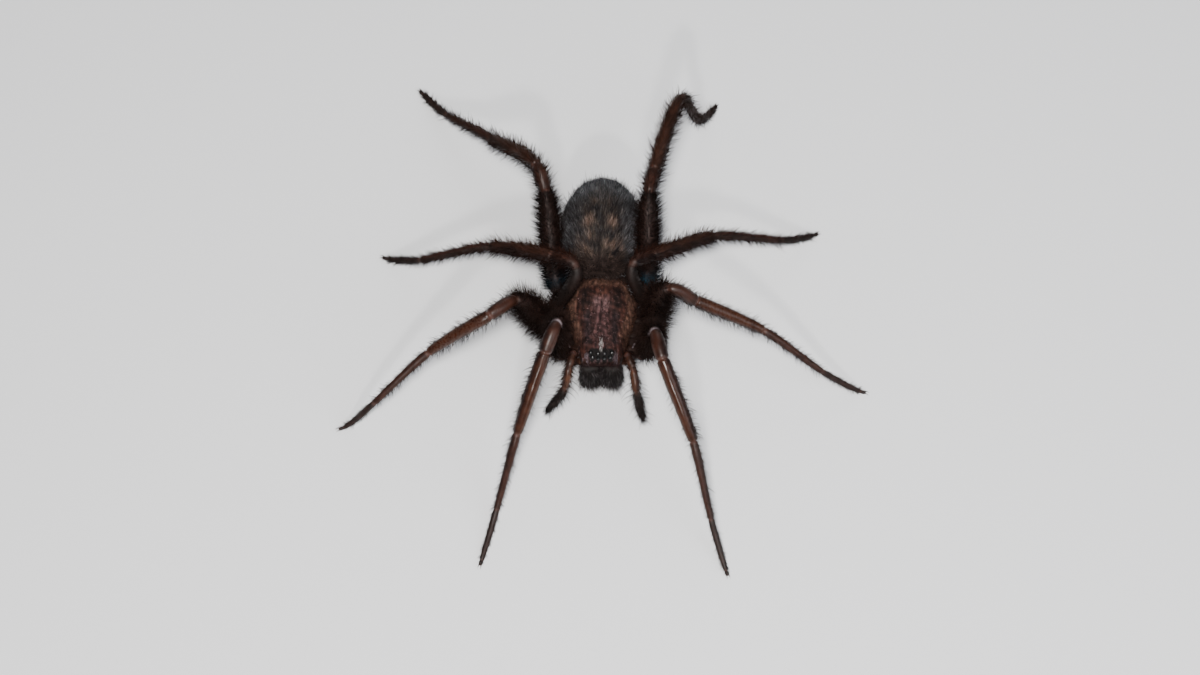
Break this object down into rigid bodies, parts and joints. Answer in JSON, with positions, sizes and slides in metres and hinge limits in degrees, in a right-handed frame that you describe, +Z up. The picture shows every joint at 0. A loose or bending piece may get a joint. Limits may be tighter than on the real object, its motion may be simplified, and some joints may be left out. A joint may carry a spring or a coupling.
{
  "type": "house spider",
  "caption": "Life-size house spider in a still standing pose, legs spread, with a dark domed abdomen, red-brown glossy legs and a brown head shield.",
  "frame": {"origin": "on the floor, under the middle of the whole outline, legs included", "axes": "+Z up from the floor, -Y the way the spider faces, +X towards its left side"},
  "size_m": [0.0404, 0.0412, 0.0096],
  "materials": {
    "carapace": "satin dark brown shell with darker bands, an orange-brown rim and short pale hair",
    "femora": "dark brown shell under a fringe of brown-black hair",
    "legs": "glossy mahogany red-brown shell with fine hair",
    "feet": "satin dark brown shell with fine hair",
    "abdomen": "soft charcoal skin with olive-brown mottling under fine short hair",
    "underside": "satin brown shell with sparse hair",
    "chelicerae": "glossy brown-black shell with bristles",
    "fangs": "polished dark red-brown horn",
    "eyes": "polished black lens"
  },
  "bodies": {
    "root": {"abdomen": "abdomen", "carapace": "carapace", "chelicera_left": "chelicerae", "chelicera_right": "chelicerae", "eye_front_lateral_left": "eyes", "eye_front_lateral_right": "eyes", "eye_front_median_left": "eyes", "eye_front_median_right": "eyes", "eye_rear_lateral_left": "eyes", "eye_rear_lateral_right": "eyes", "eye_rear_median_left": "eyes", "eye_rear_median_right": "eyes", "fang_left": "fangs", "fang_right": "fangs", "leg_1_left_coxa": "underside", "leg_1_left_femur": "femora", "leg_1_left_foot": "feet", "leg_1_left_tibia": "legs", "leg_1_right_coxa": "underside", "leg_1_right_femur": "femora", "leg_1_right_foot": "feet", "leg_1_right_tibia": "legs", "leg_2_left_coxa": "underside", "leg_2_left_femur": "femora", "leg_2_left_foot": "feet", "leg_2_left_tibia": "legs", "leg_2_right_coxa": "underside", "leg_2_right_femur": "femora", "leg_2_right_foot": "feet", "leg_2_right_tibia": "legs", "leg_3_left_coxa": "underside", "leg_3_left_femur": "femora", "leg_3_left_foot": "feet", "leg_3_left_tibia": "legs", "leg_3_right_coxa": "underside", "leg_3_right_femur": "femora", "leg_3_right_foot": "feet", "leg_3_right_tibia": "legs", "leg_4_left_coxa": "underside", "leg_4_left_femur": "femora", "leg_4_left_foot": "feet", "leg_4_left_tibia": "legs", "leg_4_right_coxa": "underside", "leg_4_right_femur": "femora", "leg_4_right_foot": "feet", "leg_4_right_tibia": "legs", "maxilla_left": "underside", "maxilla_right": "underside", "palp_left_femur": "legs", "palp_left_tarsus": "legs", "palp_right_femur": "legs", "palp_right_tarsus": "legs", "pedicel": "underside", "spinnerets": "underside", "sternum": "underside"}
  },
  "joints": []
}
